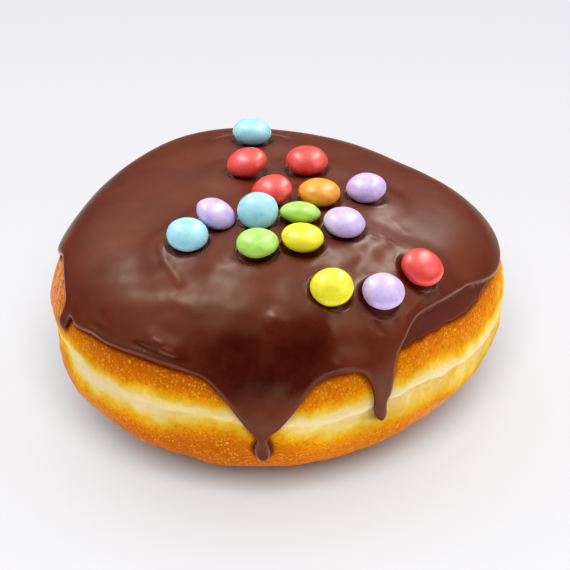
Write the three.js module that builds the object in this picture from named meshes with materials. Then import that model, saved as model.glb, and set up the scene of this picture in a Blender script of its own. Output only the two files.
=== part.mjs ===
// A berliner doughnut: a fried dough ball with a pale waist, a poured chocolate
// icing that runs down in drips, and sugar-shelled chocolate lentils on top.
// Millimetres, +Z up, the front towards -Y. It rests on its flat foot at Z = 0.
import * as THREE from "three";
import { mergeVertices } from "three/addons/utils/BufferGeometryUtils.js";

const { clamp, degToRad, lerp, smoothstep } = THREE.MathUtils;

// ---- The dough ball ----
// A wave is [lobes round the ball, height in mm, direction of its crest in degrees].
const BALL_RADIUS = 49.3;
const OUTLINE_WAVES = [[2, 2.4, 80], [3, 2.1, -7], [4, 1.0, 14]];
const WAIST_HEIGHT = 25.4;
const WAIST_DENT = 0.9;
const WAIST_HALF_WIDTH = 3.4;
const DOME_RISE = 23.3;
const DOME_SQUARENESS = 3.0;
const DOME_SHIFT = -1.6;
const DOME_SLOPE = -0.034;
const SHOULDER_TUCK = -0.6;
const SHOULDER_WAVES = [[2, 0.6, -57], [3, 0.3, -59]];
const BELLY_DROP = 26.4;
const BELLY_SQUARENESS = 2.3;
const BELLY_SHIFT = 1.5;

// ---- The icing ----
const ICING_THICKNESS = 1.3;
const ICING_GAP = 0.35;
const LIP_RADIUS = 1.2;
const LIP_START = 0.4;
const EDGE_HEIGHT = 34.8;
const EDGE_WAVES = [[1, 0.5, 230], [5, 0.25, 195], [9, 0.25, 10]];
// Each run of icing has a direction, half its width at the top in degrees and how far it
// sags, then the finger at its end, with half its width in degrees and its length. Where
// the sag is negative the edge stays up.
const RUNS = [
  { at: 268, spread: 13.5, sag: 16, fingerWidth: 1.7, fingerLength: 4.8 },
  { at: 296.5, spread: 7, sag: 9, fingerWidth: 2.3, fingerLength: 6 },
  { at: 213.2, spread: 4, sag: 1.6, fingerWidth: 1.6, fingerLength: 2.4 },
  { at: 199, spread: 14, sag: -4.2, fingerWidth: 1, fingerLength: 0 },
  { at: 286, spread: 9, sag: 1.5, fingerWidth: 1, fingerLength: 0 },
  { at: 62, spread: 6, sag: 4.5, fingerWidth: 2.2, fingerLength: 4 },
  { at: 133, spread: 6, sag: 2.4, fingerWidth: 2.0, fingerLength: 1.4 },
];
const RUN_SHARPNESS = 1.2;
const FINGER_SHARPNESS = 4;
// Where the icing ran off the edge it left a thin film below its thick lip.
const FILM = { from: 302, to: 343, depth: 4.2, thickness: 0.45, fade: 6 };

// ---- The lentils ----
// Their place as seen from above, their width and thickness, and how far and which way
// the top of each leans.
const LENTIL_GAP = 0.3;
const LENTILS = [
  { colour: "blue", x: -4.9, y: 24.2, width: 8.5, thickness: 5.3, lean: 4, towards: 12 },
  { colour: "red", x: -5.8, y: 6.7, width: 8.7, thickness: 4.9, lean: 14, towards: -150 },
  { colour: "red", x: 7.0, y: 7.8, width: 9.0, thickness: 5.2, lean: 5, towards: -70 },
  { colour: "red", x: -0.5, y: -7.6, width: 8.6, thickness: 4.8, lean: 20, towards: -135 },
  { colour: "orange", x: 9.4, y: -7.5, width: 8.9, thickness: 4.9, lean: 4, towards: 0 },
  { colour: "purple", x: 19.2, y: -4.3, width: 8.4, thickness: 5.0, lean: 8, towards: -120 },
  { colour: "blue", x: -3.2, y: -16.9, width: 8.4, thickness: 4.9, lean: 34, towards: -90 },
  { colour: "green", x: 5.4, y: -16.8, width: 8.3, thickness: 4.4, lean: 21, towards: 80 },
  { colour: "green", x: -3.2, y: -27.8, width: 8.5, thickness: 4.7, lean: 4, towards: -100 },
  { colour: "yellow", x: 5.8, y: -26.0, width: 8.6, thickness: 4.8, lean: 3, towards: -30 },
  { colour: "purple", x: 14.3, y: -19.5, width: 8.6, thickness: 4.8, lean: 10, towards: -40 },
  { colour: "purple", x: -11.7, y: -17.1, width: 8.3, thickness: 4.7, lean: 25, towards: -15 },
  { colour: "blue", x: -17.2, y: -24.0, width: 8.5, thickness: 5.1, lean: 16, towards: -75 },
  { colour: "yellow", x: 11.4, y: -39.2, width: 8.5, thickness: 4.9, lean: 26, towards: -90 },
  { colour: "purple", x: 21.6, y: -37.4, width: 8.5, thickness: 5.1, lean: 22, towards: -72 },
  { colour: "red", x: 29.7, y: -28.1, width: 8.7, thickness: 5.2, lean: 28, towards: -52 },
];
const SHELL_COLOURS = {
  blue: "#7cc8e8",
  red: "#f0413d",
  orange: "#f58a14",
  purple: "#b9a2dc",
  green: "#9fd960",
  yellow: "#f4e822",
};

// ---- How finely the surfaces are divided ----
const DOUGH_COLUMNS = 64;
const BELLY_ROWS = 9;
const DOME_ROWS = 12;
const CROWN_ROWS = 8;
const SKIRT_LEVEL = 0.5;
const SKIRT_ROWS = [0.15, 0.34, 0.56, 0.79, 1];
const WIDE_STEP = 5.6;
const FINGER_STEP = 0.85;
const STEP_GROWTH = 0.45;
const LENTIL_COLUMNS = 12;
const LENTIL_ROWS = 6;
const HALVINGS = 30;
const LOWEST_LEVEL = -0.9;
const SLOPE_TURN = 0.5;
const SLOPE_LEVEL = 0.004;
const MERGE_DISTANCE = 1e-4;

const matter = (color, roughness) => new THREE.MeshStandardMaterial({ color, roughness, metalness: 0 });

// The sum of a list of waves in one direction, in degrees.
const waves = (list, direction) =>
  list
    .map(([lobes, height, crest]) => height * Math.cos(degToRad(lobes * (direction - crest))))
    .reduce((sum, height) => sum + height, 0);

// The turn from one direction to another, from -180 to 180 degrees.
const turn = (from, to) => ((((to - from) % 360) + 540) % 360) - 180;

// ---- The dough's surface ----

// A point of the dough, by direction in degrees and level: -1 under the foot, 0 at the
// waist, 1 at the crown. Its outline is a superellipse above the waist and another below.
function doughPoint(direction, level) {
  const dome = level >= 0;
  const squareness = dome ? DOME_SQUARENESS : BELLY_SQUARENESS;
  const climb = (Math.PI / 2) * Math.abs(level) ** (squareness / 2);
  const out = Math.max(Math.cos(climb), 0) ** (2 / squareness);
  const rise = Math.sin(climb) ** (2 / squareness);
  const fullness = dome ? (SHOULDER_TUCK + waves(SHOULDER_WAVES, direction)) * Math.sin(2 * climb) : 0;
  const swell = 1 + fullness / BALL_RADIUS;
  const reach = (BALL_RADIUS + waves(OUTLINE_WAVES, direction)) * out * swell;
  const angle = degToRad(direction);
  const y = reach * Math.sin(angle);
  const lift = dome ? (DOME_RISE + DOME_SLOPE * y) * rise * swell : -BELLY_DROP * rise;
  const dent = WAIST_DENT * Math.exp(-((lift / WAIST_HALF_WIDTH) ** 2));
  return new THREE.Vector3(
    (reach - dent) * Math.cos(angle) + (dome ? DOME_SHIFT : BELLY_SHIFT) * rise,
    y - dent * Math.sin(angle),
    Math.max(WAIST_HEIGHT + lift, 0),
  );
}

// A point at a height above the dough, measured square to its surface.
function abovePoint(direction, level, height) {
  const point = doughPoint(direction, level);
  if (level > 1 - SLOPE_LEVEL) {
    return point.add(new THREE.Vector3(0, 0, height));
  }
  const along = doughPoint(direction + SLOPE_TURN, level).sub(doughPoint(direction - SLOPE_TURN, level));
  const up = doughPoint(direction, level + SLOPE_LEVEL).sub(doughPoint(direction, level - SLOPE_LEVEL));
  return point.addScaledVector(along.cross(up).normalize(), height);
}

// The level at which the dough reaches a height, found by halving.
function levelAt(direction, height) {
  let low = LOWEST_LEVEL;
  let high = 1;
  for (let halving = 0; halving < HALVINGS; halving += 1) {
    const middle = (low + high) / 2;
    if (doughPoint(direction, middle).z < height) {
      low = middle;
    } else {
      high = middle;
    }
  }
  return low;
}

// ---- The icing's form ----

function edgeHeight(direction) {
  let height = EDGE_HEIGHT + waves(EDGE_WAVES, direction);
  for (const { at, spread, sag, fingerWidth, fingerLength } of RUNS) {
    const offset = Math.abs(turn(at, direction));
    height -= sag * Math.max(1 - offset / spread, 0) ** RUN_SHARPNESS;
    height -= fingerLength * Math.exp(-((offset / fingerWidth) ** FINGER_SHARPNESS));
  }
  return height;
}

// How thick the icing lies at a distance from its edge: a round lip, and a step down to
// the film where there is one.
function icingThickness(direction, distance) {
  const lip = Math.sqrt(1 - (1 - Math.min(distance / LIP_RADIUS, 1)) ** 2);
  const insideFilm = Math.min(turn(FILM.from, direction), turn(direction, FILM.to));
  const alongFilm = smoothstep(insideFilm, 0, FILM.fade);
  const acrossFilm = 1 - smoothstep(distance, FILM.depth - LIP_RADIUS, FILM.depth + LIP_RADIUS);
  return lerp(ICING_THICKNESS, FILM.thickness, alongFilm * acrossFilm) * lerp(LIP_START, 1, lip);
}

// Directions round the ball, closer together towards each finger.
function icingDirections() {
  const fingers = RUNS.filter(({ fingerLength }) => fingerLength > 0);
  const directions = [];
  let direction = 0;
  while (direction < 360 - FINGER_STEP) {
    directions.push(direction);
    const nearest = Math.min(...fingers.map(({ at }) => Math.abs(turn(at, direction))));
    direction += clamp(nearest * STEP_GROWTH, FINGER_STEP, WIDE_STEP);
  }
  return directions;
}

// The levels of the icing's rows in one direction, from the crown down to its edge.
function icingLevels(edge) {
  const crown = Array.from({ length: CROWN_ROWS + 1 }, (_, row) => lerp(1, SKIRT_LEVEL, row / CROWN_ROWS));
  return [...crown, ...SKIRT_ROWS.map((share) => lerp(SKIRT_LEVEL, edge, share))];
}

// ---- Closed skins ----

// A closed skin of columns and rows: a lathe's grid whose first and last rows each come
// together in one point, with every point moved to where pointAt says.
function closedSkin(columns, rows, pointAt) {
  const profile = Array.from(
    { length: rows + 1 },
    (_, row) => new THREE.Vector2(Math.sin((Math.PI * row) / rows), row),
  );
  const geometry = new THREE.LatheGeometry(profile, columns);
  const points = geometry.getAttribute("position");
  for (let column = 0; column <= columns; column += 1) {
    for (let row = 0; row <= rows; row += 1) {
      const point = pointAt(column % columns, row);
      points.setXYZ(column * (rows + 1) + row, point.x, point.y, point.z);
    }
  }
  geometry.setIndex(patchTriangles(points, columns, rows));
  geometry.deleteAttribute("normal");
  geometry.deleteAttribute("uv");
  const skin = mergeVertices(geometry, MERGE_DISTANCE);
  skin.setIndex(withoutFlat(skin.getIndex().array));
  skin.computeVertexNormals();
  return skin;
}

// The grid's four-sided patches, each cut along its shorter diagonal, so that no patch
// of a steep drip cuts inwards.
function patchTriangles(points, columns, rows) {
  const apart = (a, b) => pointOf(points, a).distanceTo(pointOf(points, b));
  const triangles = [];
  for (let column = 0; column < columns; column += 1) {
    for (let row = 0; row < rows; row += 1) {
      const a = column * (rows + 1) + row;
      const b = a + rows + 1;
      const c = b + 1;
      const d = a + 1;
      triangles.push(...(apart(b, d) < apart(a, c) ? [a, b, d, c, d, b] : [a, b, c, a, c, d]));
    }
  }
  return triangles;
}

const pointOf = (points, index) => new THREE.Vector3().fromBufferAttribute(points, index);

// The triangles that have not lost a side where the ends of the columns came together.
function withoutFlat(corners) {
  const kept = [];
  for (let first = 0; first < corners.length; first += 3) {
    const triangle = corners.slice(first, first + 3);
    if (new Set(triangle).size === 3) {
      kept.push(...triangle);
    }
  }
  return kept;
}

// ---- The pieces ----

function makeDough() {
  const geometry = closedSkin(DOUGH_COLUMNS, BELLY_ROWS + DOME_ROWS, (column, row) => {
    const level = row < BELLY_ROWS ? row / BELLY_ROWS - 1 : (row - BELLY_ROWS) / DOME_ROWS;
    const direction = Math.abs(level) === 1 ? 0 : (column * 360) / DOUGH_COLUMNS;
    return doughPoint(direction, level);
  });
  const dough = new THREE.Mesh(geometry, matter("#d98a1c", 0.75));
  dough.name = "dough";
  return dough;
}

// The icing's lining goes from the crown down to its edge, just clear of the dough, and
// its outer skin climbs from the lip back to the crown.
function makeIcing() {
  const directions = icingDirections();
  const columns = directions.map((direction) => ({
    direction,
    levels: icingLevels(levelAt(direction, edgeHeight(direction))),
  }));
  const last = columns[0].levels.length - 1;
  const geometry = closedSkin(columns.length, 2 * last + 1, (column, row) => {
    const { direction, levels } = columns[column];
    const lining = row <= last;
    const step = lining ? row : 2 * last + 1 - row;
    const around = step === 0 ? 0 : direction;
    if (lining) {
      return abovePoint(around, levels[step], ICING_GAP);
    }
    const distance = doughPoint(direction, levels[step]).distanceTo(doughPoint(direction, levels[last]));
    return abovePoint(around, levels[step], ICING_GAP + icingThickness(direction, distance));
  });
  const icing = new THREE.Mesh(geometry, matter("#5a3020", 0.35));
  icing.name = "icing";
  return icing;
}

// A lentil is a flattened ball. It is laid above the icing below its middle, so that it
// clears the icing by the gap however it leans.
function makeLentil({ colour, x, y, width, thickness, lean, towards }, icing, name) {
  const geometry = closedSkin(LENTIL_COLUMNS, LENTIL_ROWS, (column, row) => {
    const latitude = Math.PI * (row / LENTIL_ROWS - 0.5);
    const longitude = (2 * Math.PI * column) / LENTIL_COLUMNS;
    const reach = row % LENTIL_ROWS === 0 ? 0 : (width / 2) * Math.cos(latitude);
    return new THREE.Vector3(
      reach * Math.cos(longitude),
      reach * Math.sin(longitude),
      (thickness / 2) * Math.sin(latitude),
    );
  });
  const lentil = new THREE.Mesh(geometry, matter(SHELL_COLOURS[colour], 0.3));
  const tilt = degToRad(lean);
  const facing = degToRad(towards);
  const up = new THREE.Vector3(
    Math.sin(tilt) * Math.cos(facing),
    Math.sin(tilt) * Math.sin(facing),
    Math.cos(tilt),
  );
  const sight = new THREE.Raycaster(new THREE.Vector3(x, y, 2 * BALL_RADIUS), new THREE.Vector3(0, 0, -1));
  const [{ point, face }] = sight.intersectObject(icing);
  const slant = up.dot(face.normal);
  const support = Math.hypot((width / 2) * Math.sqrt(1 - slant ** 2), (thickness / 2) * slant);
  lentil.position.set(x, y, point.z + (support + LENTIL_GAP) / face.normal.z);
  lentil.quaternion.setFromUnitVectors(new THREE.Vector3(0, 0, 1), up);
  lentil.name = name;
  return lentil;
}

// ---- The whole ----

function makeBerliner() {
  const berliner = new THREE.Group();
  const dough = makeDough();
  const icing = makeIcing();
  berliner.add(dough, icing);
  const counts = {};
  for (const lentil of LENTILS) {
    counts[lentil.colour] = (counts[lentil.colour] ?? 0) + 1;
    berliner.add(makeLentil(lentil, icing, `lentil_${lentil.colour}_${counts[lentil.colour]}`));
  }
  // The origin is under the middle of the whole.
  const middle = new THREE.Box3().setFromObject(berliner, true).getCenter(new THREE.Vector3());
  berliner.position.set(-middle.x, -middle.y, 0);
  return berliner;
}

export default makeBerliner();
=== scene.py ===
import math

import bmesh
import bpy
import numpy as np
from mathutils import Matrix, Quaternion, Vector, kdtree
from mathutils.geometry import delaunay_2d_cdt


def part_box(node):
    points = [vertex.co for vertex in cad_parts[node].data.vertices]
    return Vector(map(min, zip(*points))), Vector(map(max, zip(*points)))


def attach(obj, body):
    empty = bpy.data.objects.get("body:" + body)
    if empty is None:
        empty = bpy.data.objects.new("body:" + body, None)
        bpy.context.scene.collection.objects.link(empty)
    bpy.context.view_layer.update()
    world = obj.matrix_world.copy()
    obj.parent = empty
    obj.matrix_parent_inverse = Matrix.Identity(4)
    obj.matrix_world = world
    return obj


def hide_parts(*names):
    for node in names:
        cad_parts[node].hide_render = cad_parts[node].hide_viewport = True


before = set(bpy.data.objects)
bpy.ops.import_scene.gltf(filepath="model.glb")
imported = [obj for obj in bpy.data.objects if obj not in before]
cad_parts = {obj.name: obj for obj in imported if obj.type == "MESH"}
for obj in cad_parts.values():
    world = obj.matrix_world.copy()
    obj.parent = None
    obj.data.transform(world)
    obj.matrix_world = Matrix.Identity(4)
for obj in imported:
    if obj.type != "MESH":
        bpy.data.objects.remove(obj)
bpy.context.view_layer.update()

MM = 0.001

# ---- The dough ball's form, as the CAD model has it, in mm ----
# A wave is (lobes round the ball, height, direction of its crest in degrees). Directions
# are degrees round the ball from +X, and the front is at 270.
BALL_RADIUS = 49.3
OUTLINE_WAVES = ((2, 2.4, 80), (3, 2.1, -7), (4, 1.0, 14))
WAIST_HEIGHT = 25.4
DOME_RISE = 23.3
DOME_SQUARENESS = 3.0
DOME_SHIFT = -1.6
DOME_SLOPE = -0.034
SHOULDER_TUCK = -0.6
SHOULDER_WAVES = ((2, 0.6, -57), (3, 0.3, -59))
BELLY_DROP = 26.4
BELLY_SQUARENESS = 2.3
BELLY_SHIFT = 1.5

# ---- The icing, in mm ----
# Its edge in order round the ball, as (direction, height), with the drips that hang from it.
EDGE = (
    (3, 34.2), (20, 35.3), (40, 35.8), (52, 34.8), (57, 33.2), (60, 30.8), (60.9, 28.7), (62, 27.8),
    (63.1, 28.7), (64, 30.8), (67, 33.6), (74, 35.0), (95, 35.6), (115, 34.6), (126, 33.6),
    (131, 32.3), (132, 31.2), (133.2, 30.6), (134.4, 31.2), (135.6, 32.5), (140, 34.0),
    (155, 35.2), (170, 35.6), (184, 36.4), (189, 37.6), (195, 39.2), (203, 38.9), (208.5, 37.9),
    (211.6, 36.6), (211.9, 34.7), (211.6, 33.1), (212.8, 32.0), (214.4, 32.7), (215.1, 34.4),
    (216.4, 35.4), (218.8, 34.8), (225.2, 35.3), (232, 35.2), (239.5, 35.4), (246, 35.1), (250, 34.9),
    (253.5, 34.6), (256.2, 33.9), (259.2, 31.5), (262.2, 27.4), (264.6, 24.1), (266.1, 22.5),
    (266.4, 21.3), (265.8, 19.6), (265.7, 17.8), (266.2, 16.3), (267.2, 15.5), (268.3, 16.3),
    (268.85, 17.8), (268.75, 19.6), (268.45, 21.1), (269.0, 22.5), (271.2, 24.0), (273.2, 25.9),
    (275.3, 28.1), (277.2, 30.3), (279, 32.1), (282.2, 33.5), (285.8, 33.8), (289.4, 33.5),
    (291.8, 32.5), (293.2, 30.5), (294.0, 28.0), (294.3, 25.9), (294.1, 23.8), (294.4, 22.0),
    (295.5, 21.1), (296.6, 21.9), (296.85, 23.5), (297.1, 25.0), (298.3, 26.5), (299.2, 28.9),
    (300.2, 32.2), (301.6, 34.5), (304.2, 36.4), (306, 37.5), (310, 38.7), (316.5, 38.8), (322, 38.5),
    (330, 38.0), (333, 37.8), (339.8, 36.1), (345.8, 34.8), (352, 34.1),
)
# The thin film that ran out below the thick lip: its edge as (direction, height).
FILM = (
    (302.6, 34.7), (305.4, 34.7), (308, 35.1), (310.2, 34.7), (313, 34.9), (316.6, 34.5), (319.5, 34.8),
    (322.4, 34.3), (326, 34.1), (329.2, 33.8), (333, 34.1), (336, 34.0), (338.5, 34.4), (343, 34.6),
)
# The directions between which it lies, and how thick it is.
FILM_REACH = (301.5, 346)
FILM_THICKNESS = 0.13
# The icing's thickness, how thick its lip is and how wide, and how wide the lip's edge is rounded.
ICING_THICKNESS = 0.95
LIP_THICKNESS = 1.25
LIP_WIDTH = 3.2
NOSE = 0.72
# How deep its edge lies in the dough, and the plain lining that closes it underneath.
EDGE_DEPTH = 0.04
LINING_DEPTH = 0.12
# Where the icing hangs thicker: direction, height, half width in mm, half height, extra.
BEADS = ((267.3, 18.0, 1.9, 2.4, 0.65), (267.6, 25.0, 5.0, 5.0, 0.45), (295.5, 21.8, 1.9, 2.4, 0.35),
         (213.2, 33.2, 1.5, 1.4, 0.3), (62, 28.8, 1.8, 2.0, 0.4))
# The rolled bead along the front left edge: first and last direction, height, depth of its groove.
ROLLED_BEAD = (221, 228, 247, 258, 0.34, 0.34)
# Wrinkles that stayed where the icing set: both ends seen from above, half width, height, in mm.
WRINKLES = (
    ((-23.8, -23.4), (-22.6, -28.4), 0.8, 0.13), ((-22.6, -28.4), (-19.6, -33.9), 0.9, 0.14),
    ((-20.8, -37.0), (-16.6, -41.0), 1.5, 0.17), ((16.8, -20.4), (21.6, -20.5), 0.7, 0.13),
    ((20.4, -18.8), (22.4, -21.6), 0.6, 0.1), ((16.0, -27.0), (14.0, -30.8), 0.9, 0.13),
    ((6.0, -30.8), (8.6, -27.4), 0.8, 0.11), ((22.0, -11.5), (25.0, -14.5), 1.2, 0.1),
    ((-8.6, -31.0), (-5.0, -32.4), 1.0, 0.1),
)
# The same on the steep front, with both ends as (direction, height).
SLOPE_WRINKLES = (
    ((243.4, 38.5), (245.4, 38.3), 0.45, 0.36), ((246.0, 37.6), (248.6, 37.3), 0.45, 0.38),
    ((242.0, 38.7), (248.4, 37.9), 1.9, 0.6),
    ((272.4, 43.0), (273.6, 42.6), 1.8, 0.66), ((284.4, 42.2), (283.8, 36.2), 3.5, 0.92),
    ((287.0, 37.2), (288.4, 36.4), 1.3, 0.14), ((295.8, 40.4), (298.2, 38.8), 0.4, -0.16),
    ((296.6, 40.6), (297.4, 38.8), 0.4, -0.12), ((306.2, 39.9), (314.6, 41.0), 0.8, 0.26),
    ((226.5, 38.6), (230.0, 37.9), 1.4, -0.3), ((234.5, 38.0), (237.5, 37.8), 0.9, -0.06),
    ((258.0, 35.0), (262.0, 31.5), 1.6, -0.14),
)
# Where its skin set choppy: middle seen from above, half width and height, in mm.
CHOPPY = ((18, -24, 8, 0.065), (-20, -30, 6, 0.04), (3, -27, 5, 0.04))
# How far the middle of a lentil stands over the icing round it, and the mark it pressed in.
LENTIL_STAND = 1.75
PIT_DEPTH = 0.6
RIM_HEIGHT = 0.14
# How much lower the dough lies where the icing hides it, so that those marks don't cut into it.
HIDDEN_DROP = 1.7
# How far the lentils sink from their place in the CAD model, which keeps them clear of the icing.
LENTIL_SINK = {"lentil_yellow_2": 0.66, "lentil_purple_4": 0.78, "lentil_red_4": 1.05}
USUAL_SINK = 0.4

# ---- The pale waist band, where the dough stayed out of the fat, as (direction, height) ----
BAND_TOP = (
    (10, 27.8), (45, 28.4), (80, 28.0), (115, 28.8), (150, 28.2), (180, 28.8), (200, 28.6), (210, 29.1),
    (215.5, 29.8), (220.4, 29.6), (226.4, 28.8), (235.8, 28.3), (241.2, 28.8), (246.2, 28.9),
    (254.4, 28.6), (260, 28.3), (268, 27.3), (276, 26.3), (283, 26.7), (293, 27.1), (301, 27.9),
    (308, 28.2), (316, 28.0), (324, 27.0), (332, 26.3), (342, 26.8), (351, 27.4),
)
BAND_FOOT = (
    (20, 21.5), (50, 20.4), (85, 21.4), (120, 22.4), (150, 21.2), (180, 22.2), (196, 23.4), (205, 25.4),
    (209.6, 26.0), (213.2, 24.4), (216.4, 21.9), (221.9, 21.3), (228.8, 22.3), (235, 22.3),
    (240.2, 21.3), (245.4, 21.6), (249, 22.9), (251.8, 23.8), (259.5, 23.8), (266, 22.6), (272.4, 21.4),
    (279, 20.2), (285, 19.5), (293, 19.6), (302.8, 19.3), (308.6, 20.0), (316.4, 19.7), (322, 18.6),
    (327, 17.6), (333, 17.3), (340, 17.4), (345.7, 18.6), (351, 20.0), (357, 21.0),
)
# The crease in the band, under a roll of dough.
CREASE = (
    (15, 24.6), (60, 24.0), (100, 25.2), (140, 24.4), (180, 25.4), (205, 27.2), (214, 27.4),
    (224, 26.8), (230.6, 26.5), (236, 25.9), (246, 25.7), (256, 25.8), (262, 24.8), (268, 24.0),
    (280, 23.4), (293.4, 23.3), (300, 24.0), (305.5, 24.6), (314.6, 24.0), (325, 23.1),
    (334.6, 22.2), (342, 22.8), (350, 24.0),
)
# How far the roll stands out and how deep the crease cuts, as (direction, mm).
ROLL = ((20, 0.35), (60, 0.5), (110, 0.3), (150, 0.45), (190, 0.35), (215, 0.3), (235, 0.45),
        (255, 0.25), (268, 0.3), (285, 0.45), (300, 0.6), (320, 0.7), (335, 0.55), (350, 0.4))
# Flatter places low on the sides: from, fully from, fully to and to which direction, the height of
# their middle, their half height and how much is missing there, in mm.
FLATS = ((188, 200, 214, 230, 25.5, 4.6, 0.8), (325, 340, 356, 368, 22.5, 6, 0.4))

# ---- Looks shared by several pieces ----
CAMERA_DISTANCE = 450
CAMERA_ELEVATION = 30
CAMERA_AIM = (0.83, 0.0, 26.3)
CAMERA_LENS = 131.6


# ======== Small tools ========

def from_hex(code):
    """An sRGB hex colour as the linear values that a shader takes."""
    parts = [int(code[i:i + 2], 16) / 255 for i in (1, 3, 5)]
    return [p / 12.92 if p <= 0.04045 else ((p + 0.055) / 1.055) ** 2.4 for p in parts] + [1]


def smooth_step(low, high, x):
    t = np.clip((x - low) / (high - low), 0, 1)
    return t * t * (3 - 2 * t)


def stretch(begin, full, fade, end, x):
    """1 from full to fade, falling smoothly to 0 at begin and at end."""
    return smooth_step(begin, full, x) * (1 - smooth_step(fade, end, x))


def hump(x, middle, half_width):
    """1 at the middle, falling smoothly to both sides."""
    return np.exp(-(((x - middle) / half_width) ** 2))


def curve(points, step):
    """A smooth curve through points in order, as points about a step apart along it."""
    p = np.asarray(points, float)
    gaps = np.sqrt(np.linalg.norm(np.diff(p, axis=0), axis=1))
    t = np.concatenate([[0], np.cumsum(gaps)])
    made = []
    for i in range(1, len(p) - 2):
        count = max(int(np.linalg.norm(p[i + 1] - p[i]) / step), 1)
        u = np.linspace(t[i], t[i + 1], count, endpoint=False)[:, None]
        a = [((t[j + 1] - u) * p[j] + (u - t[j]) * p[j + 1]) / (t[j + 1] - t[j])
             for j in (i - 1, i, i + 1)]
        b = [((t[j + 2] - u) * a[k] + (u - t[j]) * a[k + 1]) / (t[j + 2] - t[j])
             for k, j in enumerate((i - 1, i))]
        made.append(((t[i + 1] - u) * b[0] + (u - t[i]) * b[1]) / (t[i + 1] - t[i]))
    return np.concatenate(made)


def round_the_ball(points, directions):
    """Values at some directions, on a smooth curve through (direction, value) points."""
    p = np.array(points, float)
    p = np.vstack([p[-2:] - [360, 0], p, p[:3] + [360, 0]])
    line = curve(p, 0.5)
    return np.interp(np.mod(directions, 360), line[:, 0], line[:, 1], period=360)


def directions_of(points):
    """The directions in which points lie, seen from above."""
    return np.mod(np.degrees(np.arctan2(points[:, 1], points[:, 0])), 360)


def from_the_back(directions):
    """Directions counted on from the back, from 90 to 450, so no pattern breaks off at the right."""
    return np.mod(directions - 90, 360) + 90


def turn(origin, directions):
    """The turn from one direction to others, from -180 to 180 degrees."""
    return np.mod(np.asarray(directions) - origin + 180, 360) - 180


def ripple(points, size, seed, count=14):
    """A smooth random field of about unit height whose humps are about size apart."""
    rng = np.random.default_rng(seed)
    ways = rng.normal(size=(count, 3))
    ways /= np.linalg.norm(ways, axis=1)[:, None]
    ways *= (2 * math.pi / size) * rng.uniform(0.7, 1.4, size=(count, 1))
    phases = rng.uniform(0, 2 * math.pi, count)
    return np.cos(points @ ways.T + phases).sum(axis=1) / math.sqrt(count / 2)


# ======== The form of the dough ball ========

def waves(crests, directions):
    return sum(height * np.cos(np.radians(lobes * (directions - crest)))
               for lobes, height, crest in crests)


def raw_ball(directions, levels):
    directions, levels = np.broadcast_arrays(np.asarray(directions, float), np.asarray(levels, float))
    dome = levels >= 0
    square = np.where(dome, DOME_SQUARENESS, BELLY_SQUARENESS)
    climb = (math.pi / 2) * np.abs(levels) ** (square / 2)
    out = np.maximum(np.cos(climb), 0) ** (2 / square)
    rise = np.sin(climb) ** (2 / square)
    tuck = (SHOULDER_TUCK + waves(SHOULDER_WAVES, directions)) * np.sin(2 * climb)
    swell = 1 + np.where(dome, tuck, 0) / BALL_RADIUS
    reach = (BALL_RADIUS + waves(OUTLINE_WAVES, directions)) * out * swell
    x = reach * np.cos(np.radians(directions))
    y = reach * np.sin(np.radians(directions))
    lift = np.where(dome, (DOME_RISE + DOME_SLOPE * y) * rise * swell, -BELLY_DROP * rise)
    x = x + np.where(dome, DOME_SHIFT, BELLY_SHIFT) * rise
    return np.stack([x, y, WAIST_HEIGHT + lift], axis=-1)


def ball_shift():
    """How far the form moves sideways to stand where the CAD dough stands."""
    low, high = (np.array(corner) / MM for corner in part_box("dough"))
    around, up = np.meshgrid(np.arange(0, 360, 0.5), np.linspace(-1, 1, 401))
    form = raw_ball(around, up).reshape(-1, 3)
    shift = (low + high) / 2 - (form.min(axis=0) + form.max(axis=0)) / 2
    return np.array([shift[0], shift[1], 0])


BALL_SHIFT = ball_shift()


def ball(directions, levels):
    return raw_ball(directions, levels) + BALL_SHIFT


def ball_normal(directions, levels):
    step = 0.002
    levels = np.clip(levels, step - 1, 1 - step)
    along = ball(directions + 0.25, levels) - ball(directions - 0.25, levels)
    up = ball(directions, levels + step) - ball(directions, levels - step)
    normal = np.cross(along, up)
    return normal / np.linalg.norm(normal, axis=-1, keepdims=True)


def level_at(directions, heights):
    """The levels at which the ball reaches some heights, found by halving."""
    low = np.full(np.shape(directions), -0.9)
    high = np.full(np.shape(directions), 1.0)
    for _ in range(26):
        middle = (low + high) / 2
        below = raw_ball(directions, middle)[..., 2] < heights
        low = np.where(below, middle, low)
        high = np.where(below, high, middle)
    return low


# ======== Camera, light and floor ========

def add_camera():
    camera = bpy.data.objects.new("camera", bpy.data.cameras.new("camera"))
    bpy.context.collection.objects.link(camera)
    aim = Vector(CAMERA_AIM) * MM
    elevation = math.radians(CAMERA_ELEVATION)
    back = Vector((0, -math.cos(elevation), math.sin(elevation)))
    camera.location = aim + back * CAMERA_DISTANCE * MM
    camera.rotation_euler = back.to_track_quat("Z", "Y").to_euler()
    camera.data.lens = CAMERA_LENS
    camera.data.clip_start = 0.01
    bpy.context.scene.camera = camera


def add_softbox(name, place, aim, size, power, lit, roll=0):
    """A soft light. It lights only the things in the collection lit, or all but its excluded ones."""
    light = bpy.data.lights.new(name, "AREA")
    light.shape = "RECTANGLE"
    light.size, light.size_y = size
    light.energy = power
    lamp = bpy.data.objects.new(name, light)
    bpy.context.collection.objects.link(lamp)
    lamp.location = place
    upright = (Vector(place) - Vector(aim)).to_track_quat("Z", "Y")
    lamp.rotation_euler = (upright @ Quaternion((0, 0, 1), math.radians(roll))).to_euler()
    lamp.light_linking.receiver_collection = lit
    return lamp


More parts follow.
